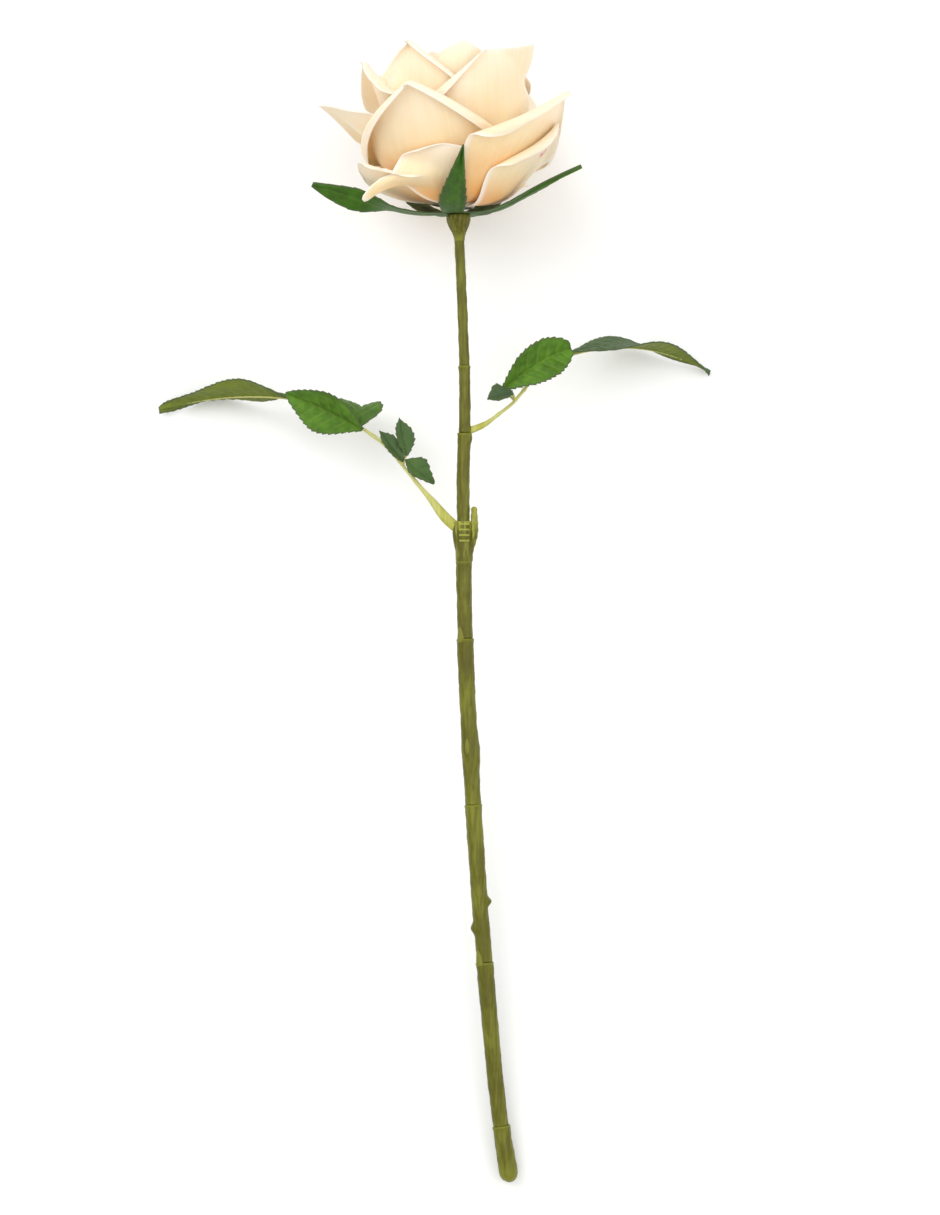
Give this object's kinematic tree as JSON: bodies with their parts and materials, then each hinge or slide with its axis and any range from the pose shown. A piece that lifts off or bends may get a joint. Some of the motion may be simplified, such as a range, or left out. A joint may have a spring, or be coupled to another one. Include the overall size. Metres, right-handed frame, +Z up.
{
  "type": "artificial rose stem",
  "caption": "Artificial rose stem lying on its side: cream fabric flower head, sepals, moulded green plastic stem over a wire, and two leaf sprigs.",
  "frame": {"origin": "bottom centre of the whole stem's bounding box, on the surface that it lies on", "axes": "+Y along the stem from its cut end to the flower head, +X across the leaf sprigs, +Z up from the surface"},
  "size_m": [0.223, 0.4544, 0.0933],
  "materials": {
    "petal_fabric": "stiffened heat-set fabric, matte, cream with a peach shade at the base",
    "heart_fabric": "stiffened heat-set fabric, matte, deeper peach cream",
    "core_foam": "pale foam, matte",
    "leaf_fabric": "printed and embossed leaf fabric, satin",
    "sepal_fabric": "dyed serrated fabric, matte",
    "stem_plastic": "moulded polyethylene, satin, olive green",
    "calyx_plastic": "moulded polyethylene, brown-olive",
    "shoot_plastic": "moulded polyethylene, yellow-green",
    "wire_steel": "drawn steel wire"
  },
  "bodies": {
    "root": {"bud_core": "core_foam", "bud_petal_1": "petal_fabric", "bud_petal_2": "petal_fabric", "bud_petal_3": "petal_fabric", "bud_petal_4": "petal_fabric", "bud_petal_5": "petal_fabric", "calyx_cup": "calyx_plastic", "heart_petal_1": "heart_fabric", "heart_petal_2": "heart_fabric", "heart_petal_3": "heart_fabric", "inner_petal_1": "heart_fabric", "inner_petal_2": "heart_fabric", "inner_petal_3": "heart_fabric", "inner_petal_4": "heart_fabric", "leaf_collar": "stem_plastic", "left_leaflet_1": "leaf_fabric", "left_leaflet_2": "leaf_fabric", "left_leaflet_3": "leaf_fabric", "left_leaflet_4": "leaf_fabric", "left_leaflet_5": "leaf_fabric", "left_leaflet_end": "leaf_fabric", "left_leafstalk": "shoot_plastic", "low_petal_1": "petal_fabric", "low_petal_2": "petal_fabric", "low_petal_3": "petal_fabric", "low_petal_4": "petal_fabric", "low_petal_5": "petal_fabric", "middle_petal_1": "heart_fabric", "middle_petal_2": "heart_fabric", "middle_petal_3": "heart_fabric", "middle_petal_4": "heart_fabric", "outer_petal_1": "petal_fabric", "outer_petal_2": "petal_fabric", "outer_petal_3": "petal_fabric", "outer_petal_4": "petal_fabric", "outer_petal_5": "petal_fabric", "right_leaflet_1": "leaf_fabric", "right_leaflet_2": "leaf_fabric", "right_leaflet_end": "leaf_fabric", "right_leafstalk": "shoot_plastic", "sepal_star": "sepal_fabric", "stem_end_cap": "stem_plastic", "stem_sleeve_1": "stem_plastic", "stem_sleeve_2": "stem_plastic", "stem_sleeve_3": "stem_plastic", "stem_sleeve_4": "stem_plastic", "stem_sleeve_5": "stem_plastic", "stem_sleeve_6": "stem_plastic", "stem_sleeve_7": "stem_plastic", "stem_wire": "wire_steel"}
  },
  "joints": []
}
